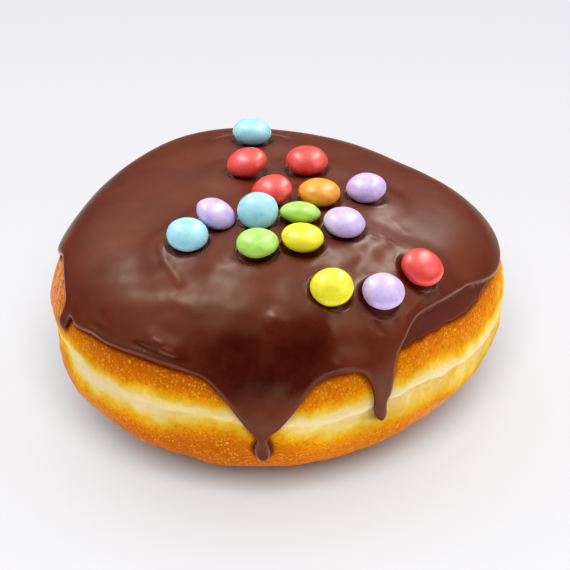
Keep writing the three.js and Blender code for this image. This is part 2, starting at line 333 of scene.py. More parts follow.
def add_light(floor):
    # The table has a light of its own, from the front, so its shadows stay pale.
    table = bpy.data.collections.new("table")
    table.objects.link(floor)
    add_softbox("table_light", (0, -1.1, 1.2), (0, 0.25, 0), (0.9, 0.8), 39, table)
    # Two long soft lights high behind the ball, to its left and right, for all but the table.
    others = bpy.data.collections.new("not_the_table")
    others.objects.link(floor)
    others.collection_objects[0].light_linking.link_state = "EXCLUDE"
    add_softbox("rear_left", (-0.34, 0.36, 0.79), (0, 0, 0.03), (0.18, 0.44), 2.3, others, -25)
    add_softbox("rear_right", (0.37, 0.46, 0.72), (0, 0, 0.03), (0.17, 0.68), 3.1, others, 25)
    # A white card lies before the ball, to its right, and throws light back up at the crust.
    card = add_softbox("card", (0.34, -0.45, -0.16), (0, 0, 0.03), (0.5, 0.3), 0.7, others)
    card.light_linking.blocker_collection = others
    card.visible_glossy = False
    floor.visible_glossy = False
    light_the_room()
    bpy.context.scene.view_settings.view_transform = "Standard"


def light_the_room():
    """A white room that is brighter behind and above the ball, and dark where the camera stands.

    The dark side only shows in what shines. Matt surfaces get light from all round."""
    world = bpy.data.worlds.new("studio")
    bpy.context.scene.world = world
    world.use_nodes = True
    world.cycles.sampling_method = "NONE"
    tree = world.node_tree
    way = node(tree, "TexCoord")
    split = node(tree, "SeparateXYZ", links={0: way.outputs["Generated"]})
    # Between two places on an axis, each part's brightness goes from its least to its most.
    parts = {
        "matt": ("Y", -0.6, 0.5, 0.56, 1.36),
        "behind": ("Y", -0.4, 0.04, 0.02, 1),
        "above": ("Z", 0, 0.9, 0.05, 1.1),
        "left": ("X", -0.95, -0.55, 0.4, 1),
        "across": ("X", -1, 1, 0, 1),
        "near": ("Y", -0.68, -0.48, 0, 2),
        "far": ("Y", 0.26, 0.08, 0, 1),
        "low": ("Z", 0.14, 0.36, 0, 1),
        "table_top": ("Z", -0.14, -0.42, 0, 1.6),
        "under": ("Z", -0.92, -0.6, 0.2, 1),
    }
    part = {}
    for name, (axis, begin, end, least, most) in parts.items():
        part[name] = node(tree, "MapRange",
                          {"From Min": begin, "From Max": end, "To Min": least, "To Max": most},
                          {"Value": split.outputs[axis]})
    back_wall = product(tree, part["behind"], part["above"], part["left"])
    # White screens stand to both sides of the camera, the right one brighter.
    sides = node(tree, "ValToRGB", {"stops": (
        (0.18, (0.3, 0.3, 0.3, 1)), (0.3, (0, 0, 0, 1)), (0.66, (0, 0, 0, 1)), (0.8, (1, 1, 1, 1)))},
                 {0: part["across"]})
    screens = product(tree, sides, part["near"], part["far"], part["low"])
    table = product(tree, part["table_top"], part["under"])
    room = node(tree, "Math", {"operation": "MAXIMUM"}, {0: back_wall, 1: screens})
    shiny = node(tree, "Math", {"operation": "MAXIMUM"}, {0: room, 1: table})
    path = node(tree, "LightPath")
    level = node(tree, "Mix", links={0: path.outputs["Is Glossy Ray"], 2: part["matt"], 3: shiny})
    seen = node(tree, "Mix", {3: 0.93}, {0: path.outputs["Is Camera Ray"], 2: level})
    tint = node(tree, "Mix", {"data_type": "RGBA", 6: from_hex("#fcfcff"), 7: from_hex("#fff2e0")},
                {0: path.outputs["Is Glossy Ray"]})
    set_up(tree, tree.nodes["Background"], links={"Color": tint, "Strength": seen})


def add_floor():
    bpy.ops.mesh.primitive_plane_add(size=6)
    floor = bpy.context.object
    floor.name = "floor"
    floor.data.materials.append(plain_floor())
    return floor


# ======== Materials ========

def new_material(name):
    """A new material, its node tree and its shader."""
    material = bpy.data.materials.new(name)
    material.use_nodes = True
    return material, material.node_tree, material.node_tree.nodes["Principled BSDF"]


def attributes(tree, *names):
    """The values that the points of a piece carry under some names, as sockets."""
    return [node(tree, "Attribute", {"attribute_name": name}).outputs["Fac"] for name in names]


def set_up(tree, made, settings=None, links=None):
    """Sets and links a node.

    A setting goes to a socket, by its name or number, or to the node itself. A link comes from a
    socket or from a node, which stands for its first output in use."""
    for key, value in (settings or {}).items():
        if key == "stops":
            ramp = made.color_ramp
            while len(ramp.elements) < len(value):
                ramp.elements.new(1)
            for element, (place, colour) in zip(ramp.elements, value):
                element.position = place
                element.color = colour
        elif isinstance(key, int) or key in made.inputs:
            made.inputs[key].default_value = value
        else:
            setattr(made, key, value)
    for key, source in (links or {}).items():
        if isinstance(source, bpy.types.Node):
            source = next(output for output in source.outputs if output.enabled)
        tree.links.new(source, made.inputs[key])
    return made


def node(tree, kind, settings=None, links=None):
    """Adds a node with its settings and links."""
    return set_up(tree, tree.nodes.new("ShaderNode" + kind), settings, links)


def product(tree, first, *others):
    """The values of some sockets or nodes multiplied together."""
    for other in others:
        first = node(tree, "Math", {"operation": "MULTIPLY"}, {0: first, 1: other})
    return first


def patches(tree, place, size, detail, roughness, found, given=(0, 1)):
    """Soft patches about a size in mm, with the values found in them brought to the ones given."""
    noise = node(tree, "TexNoise",
                 {"Scale": 1 / (size * MM), "Detail": detail, "Roughness": roughness}, {0: place})
    return node(tree, "MapRange", {"From Min": found[0], "From Max": found[1],
                                   "To Min": given[0], "To Max": given[1]}, {"Value": noise})


def plain_floor():
    # A matt white acrylic table top. Near the ball, where it sees less of the room, it is painted a
    # cooler grey-blue: a painted shadow tint, so the crust's orange bounce shows little there.
    material, tree, skin = new_material("white_acrylic")
    open_sky = node(tree, "AmbientOcclusion", {"samples": 8, "Distance": 0.14})
    colour = node(tree, "Mix", {"data_type": "RGBA", 6: from_hex("#b8c5c8"), 7: from_hex("#bab9bb")},
                  {0: open_sky.outputs["AO"]})
    set_up(tree, skin, {"Roughness": 0.9, "Specular IOR Level": 0.0}, {"Base Color": colour})
    return material


def chocolate():
    # Dark chocolate icing, poured warm: it set with a soft satin shine that is a little uneven.
    # Where it ran out thin it is redder. On the lower front, in the bead's groove and round the
    # lentils' marks it is painted nearly black-brown as painted shade, and made shinier there.
    material, tree, skin = new_material("poured_chocolate")
    place = node(tree, "TexCoord").outputs["Object"]
    thin, deep = attributes(tree, "thin", "deep")
    clouds = patches(tree, place, 11, 4, 0.6, (0.35, 0.68))
    body = node(tree, "Mix", {"data_type": "RGBA", 6: from_hex("#5d1b08"), 7: from_hex("#6a2209")},
                {0: clouds})
    # Painted shade: a near black-brown laid on where the icing is shaded, in soft patches.
    shade_mottle = patches(tree, place, 5, 3, 0.55, (0.38, 0.62))
    painted_shade_tone = node(tree, "Mix", {"data_type": "RGBA", 6: from_hex("#430a01"), 7: from_hex("#521404")},
                  {0: shade_mottle})
    with_painted_shade = node(tree, "Mix", {"data_type": "RGBA"}, {0: deep, 6: body, 7: painted_shade_tone})
    colour = node(tree, "Mix", {"data_type": "RGBA", 7: from_hex("#5c1004")}, {0: thin, 6: with_painted_shade})
    satin = patches(tree, place, 5, 5, 0.6, (0.3, 0.7), (0.28, 0.4))
    glossier_in_painted_shade = node(tree, "Math", {"operation": "MULTIPLY_ADD", 1: -0.12}, {0: deep, 2: satin})
    dull = node(tree, "Math", {"operation": "MULTIPLY_ADD", 1: 0.1}, {0: thin, 2: glossier_in_painted_shade})
    fine = node(tree, "TexNoise", {"Scale": 1 / (2.2 * MM), "Detail": 3, "Roughness": 0.5},
                {0: place})
    bump = node(tree, "Bump", {"Strength": 0.15, "Distance": 0.1 * MM}, {"Height": fine})
    set_up(tree, skin, {"Specular IOR Level": 0.45, "Specular Tint": from_hex("#fff0d2")},
           {"Base Color": colour, "Roughness": dull, "Normal": bump})
    return material


def crust():
    # Yeast dough fried in fat: a matt, finely blistered crust, browned all over but for the band
    # round the waist. The baked attribute is how far, in mm, a place is past the band's edge, with more
    # added high up under the icing, partly as painted shade, and on the front left, and some taken off
    # on the right as painted light, which makes that side paler.
    material, tree, skin = new_material("fried_yeast_dough")
    place = node(tree, "TexCoord").outputs["Object"]
    baked, pale, yellow, shaded, dusty = attributes(tree, "baked", "pale", "yellow", "shaded", "dusty")
    ragged = patches(tree, place, 4, 6, 0.74, (0.3, 0.7), (-1, 1))
    browning = node(tree, "Math", {"operation": "ADD"}, {0: baked, 1: ragged})
    browned = node(tree, "MapRange", {"From Min": -3.0, "From Max": 9.0}, {"Value": browning})
    colour = node(tree, "ValToRGB", {"stops": (
        (0.0, from_hex("#f8e2a6")), (0.14, from_hex("#f8dc84")), (0.21, from_hex("#f5c840")),
        (0.27, from_hex("#f3b212")), (0.34, from_hex("#ee9a00")), (0.46, from_hex("#e68400")),
        (0.7, from_hex("#da7200")), (1.0, from_hex("#cc6200")))}, {0: browned})
    # Below the crease the band is a deeper yellow, in patches, and a yellow line just under the crease
    # is painted shade in it.
    yellow_here = product(tree, yellow, patches(tree, place, 3, 3, 0.6, (0.35, 0.65), (0.25, 1)))
    yellowed = node(tree, "Mix", {"data_type": "RGBA", 7: from_hex("#f0c03c")},
                    {0: yellow_here, 6: colour})
    # Blotches as wide as a thumbnail, where the dough lay against another or turned early.
    uneven = patches(tree, place, 14, 3, 0.5, (0.35, 0.65), (0.88, 1.1))
    colour = node(tree, "Mix", {"data_type": "RGBA", "blend_type": "MULTIPLY", 0: 1.0},
                  {6: yellowed, 7: uneven})
    # A grain of blisters about half a millimetre wide, paler on top, in clusters, and darker between.
    crusty = node(tree, "MapRange", {"From Min": -0.2, "From Max": 1.6}, {"Value": browning})
    blisters = node(tree, "TexNoise", {"Scale": 1 / (0.85 * MM), "Detail": 3, "Roughness": 0.6},
                    {0: place})
    strayed = node(tree, "Mix", {"data_type": "RGBA", "blend_type": "LINEAR_LIGHT", 0: 0.4 * MM},
                   {6: place, 7: blisters.outputs["Color"]})
    cells = node(tree, "TexVoronoi", {"Scale": 1 / (0.62 * MM)}, {0: strayed})
    lot = node(tree, "SeparateColor", links={0: cells.outputs["Color"]})
    sizes = node(tree, "Math", {"operation": "MULTIPLY_ADD", 1: 0.3}, {0: lot.outputs[0], 2: cells})
    rounds = node(tree, "MapRange", {"From Min": 0.64, "From Max": 0.3}, {"Value": sizes})
    paleness = node(tree, "MapRange", {"To Min": 0.35}, {"Value": lot.outputs[1]})
    tops = product(tree, rounds, paleness, patches(tree, place, 3, 3, 0.6, (0.38, 0.58), (0.42, 1)))
    gaps = node(tree, "MapRange", {"From Min": 0.53, "From Max": 0.36, "To Max": 0.6},
                {"Value": blisters})
    # Low down and at the far left, salmon flecks lie on the crust: a dull bloom of flour and dried fat,
    # and partly a painted sheen where the crust turns away. Along the icing the crust is darker, partly
    # from the fat it kept and mostly as painted shadow under the lip, and the roll in the band stayed
    # nearly white.
    flecks = patches(tree, place, 1.1, 4, 0.75, (0.4, 0.6), (0, 0.8))
    over = ((product(tree, gaps, crusty), "#c06000"), (product(tree, tops, crusty), "#fab838"),
            (product(tree, flecks, dusty), "#f0a878"), (shaded, "#6e1e00"), (pale, "#f8e8c0"))
    for share, tone in over:
        colour = node(tree, "Mix", {"data_type": "RGBA", 7: from_hex(tone)}, {0: share, 6: colour})
    raised = node(tree, "Math", {"operation": "ADD"}, {0: blisters, 1: tops})
    depth = node(tree, "MapRange", {"To Min": 0.3}, {"Value": crusty})
    bump = node(tree, "Bump", {"Strength": 0.45, "Distance": 0.5 * MM},
                {"Height": product(tree, raised, depth)})
    set_up(tree, skin, {"Roughness": 0.6, "Specular IOR Level": 0.02, "Sheen Weight": 0.01,
                        "Sheen Roughness": 0.4, "Sheen Tint": from_hex("#ffb890")},
           {"Base Color": colour, "Normal": bump})
    return material


# The shells' colours: the sugar, and the deeper tone of the dye where it gathered in specks.
SHELLS = {
    "blue": ("#b0ecff", "#68bcea"),
    "red": ("#fc4a42", "#c00a14"),
    "orange": ("#ffae04", "#e86400"),
    "purple": ("#dcc8f8", "#a886d6"),
    "green": ("#bcf068", "#7cb430"),
    "yellow": ("#fff400", "#d4bc08"),
}
ROUGHEST_SHELL = "orange"


def sugar_shell(colour):
    # Dyed sugar, panned in a drum: a hard satin shell with fine dimples and specks of dye.
    material, tree, skin = new_material("sugar_shell_" + colour)
    sugar, dye = (from_hex(code) for code in SHELLS[colour])
    place = node(tree, "TexCoord").outputs["Object"]
    clouds = patches(tree, place, 2.4, 4, 0.65, (0.44, 0.68), (0, 0.42))
    clouded = node(tree, "Mix", {"data_type": "RGBA", 6: sugar, 7: dye}, {0: clouds})
    specks = patches(tree, place, 0.9, 2, 0.7, (0.66, 0.76), (0, 0.55))
    speckled = node(tree, "Mix", {"data_type": "RGBA", 7: dye}, {0: specks, 6: clouded})
    dimple = node(tree, "TexNoise", {"Scale": 1 / (1.4 * MM), "Detail": 2, "Roughness": 0.5},
                  {0: place})
    dimple_depth = (0.3 if colour == ROUGHEST_SHELL else 0.12) * MM
    bump = node(tree, "Bump", {"Strength": 0.4, "Distance": dimple_depth}, {"Height": dimple})
    # Light strays about a millimetre through the sugar and brightens the lower sides.
    set_up(tree, skin, {"Roughness": 0.34, "IOR": 1.65, "Specular IOR Level": 0.7,
                        "Subsurface Weight": 0.4, "Subsurface Radius": (1.0, 1.0, 1.0),
                        "Subsurface Scale": 1.2 * MM},
           {"Base Color": speckled, "Normal": bump})
    return material


# ======== Pieces ========

def points_of(piece):
    """The points of a piece, in metres."""
    points = np.zeros(3 * len(piece.data.vertices))
    piece.data.vertices.foreach_get("co", points)
    return points.reshape(-1, 3)


def put_points(piece, points):
    """Puts the points of a piece at places in mm."""
    piece.data.vertices.foreach_set("co", (points * MM).ravel())
    piece.data.update()


def unit_ball(sides, rings):
    """A ball of unit size, to be given its form."""
    bpy.ops.object.select_all(action="DESELECT")
    bpy.ops.mesh.primitive_uv_sphere_add(segments=sides, ring_count=rings, radius=1)
    return bpy.context.object


def piece_from(name, points, faces, material):
    """A smooth mesh piece from points in mm."""
    mesh = bpy.data.meshes.new(name)
    mesh.from_pydata((np.asarray(points) * MM).tolist(), [], [list(map(int, face)) for face in faces])
    mesh.update()
    mesh.polygons.foreach_set("use_smooth", [True] * len(mesh.polygons))
    mesh.materials.append(material)
    piece = bpy.data.objects.new(name, mesh)
    bpy.context.collection.objects.link(piece)
    return piece


# ---- Lentils ----

def lentil_form(name):
    """A lentil's middle, axis, radius and half thickness in mm, from its CAD solid."""
    points = points_of(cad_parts[name]) / MM
    middle = (points.max(axis=0) + points.min(axis=0)) / 2
    _, ways = np.linalg.eigh(np.cov((points - middle).T))
    axis = ways[:, 0] * np.sign(ways[2, 0])
    along = (points - middle) @ axis
    away = np.linalg.norm(points - middle - along[:, None] * axis, axis=1)
    middle[2] -= LENTIL_SINK.get(name, USUAL_SINK)
    return middle, axis, away.max(), np.abs(along).max()


LENTILS = {name: lentil_form(name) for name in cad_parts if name.startswith("lentil_")}


def model_lentil():
    """One sugar-coated lentil of unit size: a flattened ball with a full rim."""
    piece = unit_ball(48, 28)
    bpy.ops.object.mode_set(mode="EDIT")
    form = bmesh.from_edit_mesh(piece.data)
    for vert in form.verts:
        vert.select = abs(vert.co.z) < 0.3
    form.select_flush_mode()
    bmesh.update_edit_mesh(piece.data)
    bpy.ops.transform.resize(value=(1.01, 1.01, 0.96))
    bpy.ops.mesh.select_all(action="SELECT")
    bpy.ops.mesh.vertices_smooth(factor=0.5, repeat=3)
    bpy.ops.object.mode_set(mode="OBJECT")
    bpy.ops.object.shade_smooth()
    return piece


def make_lentil(name, model, materials, seed):
    """A copy of the model, put where its CAD solid is, with dents of its own."""
    middle, axis, radius, half = LENTILS[name]
    colour = name.split("_")[1]
    piece = bpy.data.objects.new(name.replace("lentil", "shell"), model.data.copy())
    bpy.context.collection.objects.link(piece)
    points = points_of(piece)
    points = points / np.abs(points).max(axis=0)
    rng = np.random.default_rng(seed)
    swell = 0.009 * ripple(points, 1.6, seed) + 0.005 * ripple(points, 0.8, seed + 50)
    for _ in range(9 if colour == ROUGHEST_SHELL else 5):
        spot = rng.normal(size=3)
        spot /= np.linalg.norm(spot)
        to_spot = np.linalg.norm(points - spot, axis=1)
        swell = swell - rng.uniform(0.004, 0.016) * hump(to_spot, 0, 0.16)
    across = Vector(axis).orthogonal().normalized()
    side = Vector(axis).cross(across)
    basis = np.array([across, side, axis])
    points = (points * (1 + swell[:, None]) * [radius, radius, half]) @ basis + middle
    put_points(piece, points)
    piece.data.materials.append(materials[colour])
    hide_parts(name)
    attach(piece, "root")


# ---- Icing ----

class Chart:
    """A flat map of the ball: directions as they are, and lengths from the crown down."""

    PER_DEGREE = 2
    LOWEST = -0.6
    LEVELS = 800
    LENGTHS = 900

    def __init__(self):
        self.directions = np.arange(360 * self.PER_DEGREE + 1) / self.PER_DEGREE
        self.levels = np.linspace(1, self.LOWEST, self.LEVELS)
        points = ball(self.directions[:, None], self.levels[None, :])
        steps = np.linalg.norm(np.diff(points, axis=1), axis=2)
        self.arcs = np.pad(np.cumsum(steps, axis=1), ((0, 0), (1, 0)))
        self.longest = self.arcs.min(axis=0)[-1]
        lengths = np.linspace(0, self.longest, self.LENGTHS)
        self.back = np.array([np.interp(lengths, arc, self.levels) for arc in self.arcs])

    @staticmethod
    def read(table, rows, columns):
        r = np.clip(rows, 0, table.shape[0] - 1.001)
        c = np.clip(columns, 0, table.shape[1] - 1.001)
        i, j = r.astype(int), c.astype(int)
        a, b = r - i, c - j
        return ((1 - a) * ((1 - b) * table[i, j] + b * table[i, j + 1])
                + a * ((1 - b) * table[i + 1, j] + b * table[i + 1, j + 1]))

    def flat(self, directions, levels):
        """Directions and levels to places on the map."""
        columns = (1 - levels) / (1 - self.LOWEST) * (self.LEVELS - 1)
        arcs = self.read(self.arcs, np.mod(directions, 360) * self.PER_DEGREE, columns)
        angle = np.radians(directions)
        return np.stack([arcs * np.cos(angle), arcs * np.sin(angle)], axis=-1)

    def lift(self, flat):
        """Places on the map to directions and levels."""
        directions = directions_of(flat)
        columns = np.hypot(flat[:, 0], flat[:, 1]) / self.longest * (self.LENGTHS - 1)
        return directions, self.read(self.back, directions * self.PER_DEGREE, columns)

    def solid(self, flat):
        return ball(*self.lift(flat))

    def walk(self, flat, moves):
        """Moves places on the map by vectors in space, keeping them on the ball."""
        goal = self.solid(flat) + moves
        here = flat.copy()
        step = 0.05
        for _ in range(4):
            point = self.solid(here)
            slopes = np.stack([self.solid(here + d) - self.solid(here - d)
                               for d in np.array([[step, 0], [0, step]])], axis=-1) / (2 * step)
            square = np.einsum("nij,nik->njk", slopes, slopes)
            pull = np.einsum("nij,ni->nj", slopes, goal - point)
            here = here + np.linalg.solve(square, pull[..., None])[..., 0]
        return here


CHART = Chart()
DEGREE = 0.87    # a degree of direction at the icing's edge, in mm

# How closely the icing's sheet is laid out, in mm. Rows of places follow its edge, then the lip over
# the film, then each lentil's outline, at some distances from them. The rest is filled in evenly, as
# (step, nearest, farthest) by how far a place is from all these.
EDGE_STEP = 0.24
EDGE_ROWS = (0.05, 0.14, 0.28, 0.48, 0.75, 1.1)
LIP_ROWS = (0, *EDGE_ROWS, -0.07, -0.2)
LENTIL_ROWS = (-1.0, -0.5, -0.2, 0.05, 0.25, 0.45, 0.65, 0.85, 1.1, 1.5, 2.1)
LENTIL_STEP = 0.36
FILLINGS = ((0.42, 1.3, 3.6), (0.85, 3.6, 99))
CLOSEST = 0.1
LINING_STEP = 3
LINING_REACH = 90


def edge_on_chart(points, closed):
    """An edge given as (direction, height) points, as a fine line of places on the map."""
    p = np.array(points, float)
    if closed:
        p = np.vstack([p[-1:] - [360, 0], p, p[:2] + [360, 0]])
    else:
        p = np.vstack([2 * p[0] - p[1], p, 2 * p[-1] - p[-2]])
    line = curve(p * [DEGREE, 1], 0.06) / [DEGREE, 1]
    return CHART.flat(line[:, 0], level_at(line[:, 0], line[:, 1])), line


def evenly(flat, step, closed):
    """Every place along a line that is a step on from the last one, measured on the ball."""
    solid = CHART.solid(flat)
    ring = np.vstack([solid, solid[:1]]) if closed else solid
    along = np.concatenate([[0], np.cumsum(np.linalg.norm(np.diff(ring, axis=0), axis=1))])
    count = max(int(round(along[-1] / step)), 2)
    marks = np.linspace(0, along[-1], count + 1)
    if closed:
        marks = marks[:-1]
        flat = np.vstack([flat, flat[:1]])
    return np.stack([np.interp(marks, along, flat[:, k]) for k in (0, 1)], axis=-1)


def tree_of(points):
    tree = kdtree.KDTree(len(points))
    for index, point in enumerate(points):
        tree.insert(point, index)
    tree.balance()
    return tree


def distance_to(tree, points):
    return np.array([tree.find(p)[2] for p in points])


def beside(flat, offset, closed):
    """The places at some distance to the left of a line, on the ball."""
    solid = CHART.solid(flat)
    if closed:
        ahead = np.roll(solid, -1, axis=0) - np.roll(solid, 1, axis=0)
    else:
        ahead = np.gradient(solid, axis=0)
    side = np.cross(ball_normal(*CHART.lift(flat)), ahead)
    side /= np.linalg.norm(side, axis=1)[:, None]
    return CHART.walk(flat, side * offset)


def spaced(flat, step):
    """Leaves out the places that are nearer than a step to one before them."""
    solid = CHART.solid(flat)
    cells, kept = {}, []
    keys = np.floor(solid / step).astype(int)
    for index, key in enumerate(map(tuple, keys)):
        x, y, z = key
        near = [j for i in (x - 1, x, x + 1) for k in (y - 1, y, y + 1) for m in (z - 1, z, z + 1)
                for j in cells.get((i, k, m), ())]
        if all(((solid[index] - solid[j]) ** 2).sum() > step * step for j in near):
            cells.setdefault(key, []).append(index)
            kept.append(index)
    return flat[kept]


def honeycomb(step, reach, edge):
    """An even pattern of places, out to a reach, that fills a closed edge on the map."""
    count = int(reach / step) + 1
    x, y = np.meshgrid(np.arange(-count, count + 1), np.arange(-count, count + 1))
    grid = np.stack([(x + 0.5 * (y % 2)) * step, y * step * 0.866], axis=-1).reshape(-1, 2)
    sides = directions_of(edge)
    order = np.argsort(sides)
    reaches = np.hypot(edge[order, 0], edge[order, 1])
    return grid[np.hypot(*grid.T) < np.interp(directions_of(grid), sides[order], reaches, period=360)]


def lentil_marks(points):
    """For each lentil, how far points of the icing are from its outline, seen from above."""
    marks = []
    for (middle, axis, radius, half), (_, up, _) in zip(LENTILS.values(), FEET):
        lean = axis - (axis @ up) * up
        sine = np.linalg.norm(lean)
        offset = points - middle
        offset = offset - (offset @ up)[:, None] * up
        if sine > 0.05:
            lean = lean / sine
            short = math.sqrt(radius**2 * (1 - sine**2) + half**2 * sine**2)
            along = offset @ lean
            offset = offset + np.outer(along * (radius / short - 1), lean)
        marks.append(np.linalg.norm(offset, axis=1) - radius)
    return np.array(marks)


def lentil_foot(middle):
    """The place on the ball under a lentil's middle, the way up there, and the height over it."""
    flat = np.array([[middle[0], middle[1]]]) * 1.1
    for _ in range(6):
        flat = CHART.walk(flat, (middle - CHART.solid(flat)[0])[None])
    up = ball_normal(*CHART.lift(flat))[0]
    return flat[0], up, (middle - CHART.solid(flat)[0]) @ up


FEET = [lentil_foot(form[0]) for form in LENTILS.values()]


def icing_edges():
    """The whole icing's edge, and the lip above the film, as (direction, height) points."""
    first, last = FILM[0][0], FILM[-1][0]
    whole = [p for p in EDGE if p[0] < first - 1] + list(FILM) + [p for p in EDGE if p[0] > last + 1]
    lip = [p for p in EDGE if first - 3 < p[0] < last + 4 and p[1] > 30]
    return whole, lip


ICING_EDGE = tree_of(CHART.solid(edge_on_chart(icing_edges()[0], True)[0]))
LIP_EDGE = tree_of(CHART.solid(edge_on_chart(EDGE, True)[0]))


def on_slope(end):
    return ball(end[0], level_at(end[0], end[1]))


ALL_WRINKLES = WRINKLES + tuple((on_slope(first), on_slope(last), *sizes)
                                for first, last, *sizes in SLOPE_WRINKLES)


def wrinkle_shares(points):
    """For each wrinkle, how far points are from its line, in its half widths."""
    shares = []
    for first, last, wide, _ in ALL_WRINKLES:
        first, last = np.array(first), np.array(last)
        line, offset = last - first, points[:, :len(first)] - first
        along = np.clip(offset @ line / (line @ line), 0, 1)
        shares.append(np.linalg.norm(offset - along[:, None] * line, axis=1) / wide)
    return np.array(shares)


def lentil_rings():
    """Rings of places that follow the lentils' outlines."""
    for (flat, up, _), (_, _, radius, _) in zip(FEET, LENTILS.values()):
        across = np.cross(up, [0, 1, 0])
        across /= np.linalg.norm(across)
        forward = np.cross(up, across)
        for offset in LENTIL_ROWS:
            r = radius + offset
            count = int(2 * math.pi * r / LENTIL_STEP)
            angle = np.arange(count) * 2 * math.pi / count
            moves = r * (np.outer(np.cos(angle), across) + np.outer(np.sin(angle), forward))
            ring = CHART.walk(np.repeat(flat[None], count, axis=0), moves)
            solid = CHART.solid(ring)
            clear = lentil_marks(solid).min(axis=0) > offset - 0.12
            yield ring[clear & (distance_to(ICING_EDGE, solid) > 1.4)]


def fineness(solid, to_edge):
    """How far places of the icing are from all that needs a fine mesh, in mm.

    That is its edge, its lip and the lentils' outlines. Wrinkles need one only half as fine."""
    marks = lentil_marks(solid).min(axis=0)
    to_lip = np.full(len(solid), 99.0)
    low = solid[:, 2] < 44
    to_lip[low] = distance_to(LIP_EDGE, solid[low])
    beside_lentils = np.where(marks > 0, marks - 0.9, np.where(marks > -1.2, 0, 1.5))
    fine = np.minimum(np.minimum(to_edge, to_lip), beside_lentils)
    on_wrinkle = wrinkle_shares(solid).min(axis=0) < 2.2
    with_wrinkles = np.where(on_wrinkle, np.minimum(fine, 3.5), fine)
    return np.maximum(with_wrinkles, np.where(marks > 0.9, 0, fine))


def icing_places():
    """All places of the icing's top sheet on the map: its edge in order, and the rest."""
    whole, lip = icing_edges()
    outer = evenly(edge_on_chart(whole, True)[0], EDGE_STEP, True)
    lip_line = evenly(edge_on_chart(lip, False)[0], EDGE_STEP, False)
    rows = [outer]
    for offset in EDGE_ROWS:
        row = beside(outer, offset, True)
        rows.append(row[distance_to(ICING_EDGE, CHART.solid(row)) > 0.94 * offset])
    for offset in LIP_ROWS:
        row = beside(lip_line, offset, False) if offset else lip_line
        solid = CHART.solid(row)
        right = distance_to(LIP_EDGE, solid) > 0.9 * abs(offset)
        rows.append(row[(distance_to(ICING_EDGE, solid) > 0.3) & right])
    rows += lentil_rings()
    reach = np.hypot(*outer.T).max()
    for step, near, far in FILLINGS:
        grid = honeycomb(step, reach, outer)
        solid = CHART.solid(grid)
        to_edge = distance_to(ICING_EDGE, solid)
        fine = fineness(solid, to_edge)
        rows.append(grid[(fine > near) & (fine <= far) & (to_edge > 1.2)])
    return outer, spaced(np.vstack(rows), CLOSEST)[len(spaced(outer, CLOSEST)):]


def lining_places(outer):
    """The places of the plain lining under the icing, but for its edge."""
    grid = honeycomb(LINING_STEP, LINING_REACH, outer)
    return grid[distance_to(tree_of(CHART.solid(outer)), CHART.solid(grid)) > LINING_STEP / 2]


def sheet_faces(outer, inner):
    """Triangles that cover the map inside an edge, through all the places in it."""
    places = np.vstack([outer, inner])
    count = len(outer)
    edges = [(i, (i + 1) % count) for i in range(count)]
    points, _, faces, *_ = delaunay_2d_cdt([Vector(p) for p in places], edges, [], 1, 1e-6)
    return np.array([p[:] for p in points]), np.array([list(f) for f in faces])


def lip_height(directions):
    _, line = edge_on_chart([p for p in EDGE if 300 < p[0] < 347 and p[1] > 31], False)
    return np.interp(directions, line[:, 0], line[:, 1])


def rounded(distance, width):
    """A quarter round that rises from 0 at an edge to 1 at a width from it."""
    return np.sqrt(np.clip(1 - (1 - np.clip(distance / width, 0, 1)) ** 2, 0, 1))


def poured_thickness(directions, points, to_lip, marks):
    """How thick the icing is on the ball without its edge, its marks and what moved as it set."""
    thick = ICING_THICKNESS + (LIP_THICKNESS - ICING_THICKNESS) * hump(to_lip, 0, LIP_WIDTH)
    for at, height, wide, high, extra in BEADS:
        offset = turn(at, directions) * DEGREE / wide
        thick = thick + extra * np.exp(-(offset**2) - ((points[:, 2] - height) / high) ** 2)
    # It stands higher where the lentils lie, up to their middles less their stand.
    weights, level = 0.12, 0.12 * thick
    for mark, (_, _, height) in zip(marks, FEET):
        weight = hump(np.maximum(mark + 2, 0), 0, 4.2)
        level = level + weight * (height - LENTIL_STAND)
        weights = weights + weight
    return level / weights


def setting_waves(points, to_lip):
    """The soft waves in which the icing set, choppier on the front slope, and its wrinkles."""
    inside = smooth_step(0.5, 7, to_lip)
    front = smooth_step(-8, -34, points[:, 1])
    out = inside * (0.12 * ripple(points, 30, 3) + (0.028 + 0.062 * front) * ripple(points, 13, 4)
                    + (0.006 + 0.03 * front) * ripple(points, 6, 5))
    out = out + front * smooth_step(0.3, 2, to_lip) * 0.009 * ripple(points, 3, 6, 24)
    for x, y, wide, size in CHOPPY:
        share = hump(np.hypot(points[:, 0] - x, points[:, 1] - y), 0, wide)
        out = out + size * share * ripple(points, 5, 15, 20)
    for share, (_, _, _, size) in zip(wrinkle_shares(points), ALL_WRINKLES):
        out = out + smooth_step(0.3, 1.2, to_lip) * size * hump(share, 0, 1)
    return out


def icing_height(directions, points, to_lip):
    """How high the icing stands on the ball, and how much of the rolled bead is there."""
    marks = lentil_marks(points)
    thick = poured_thickness(directions, points, to_lip, marks) + setting_waves(points, to_lip)
    begin, full, fade, end, size, groove = ROLLED_BEAD
    rolled = stretch(begin, full, fade, end, directions) * (0.7 + 0.35 * ripple(points, 6, 9))
    thick = thick + rolled * (size * hump(to_lip, 0.9, 0.5) - groove * hump(to_lip, 1.9, 0.5))
    main = thick * rounded(to_lip, NOSE + 0.4 * np.clip(rolled, 0, 1.2))
    # Each lentil pressed a mark into it, with a low rim that is missing here and there.
    mark = marks.min(axis=0)
    partly = np.clip(0.5 + 0.6 * ripple(points, 7, 8), 0, 1)
    main = main + RIM_HEIGHT * partly * hump(mark, 0.55, 0.36) + 0.1 * hump(mark, 1.1, 1.2)
    return main - PIT_DEPTH * (1 - smooth_step(-0.85, 0.08, mark)), np.clip(rolled, 0, 1)


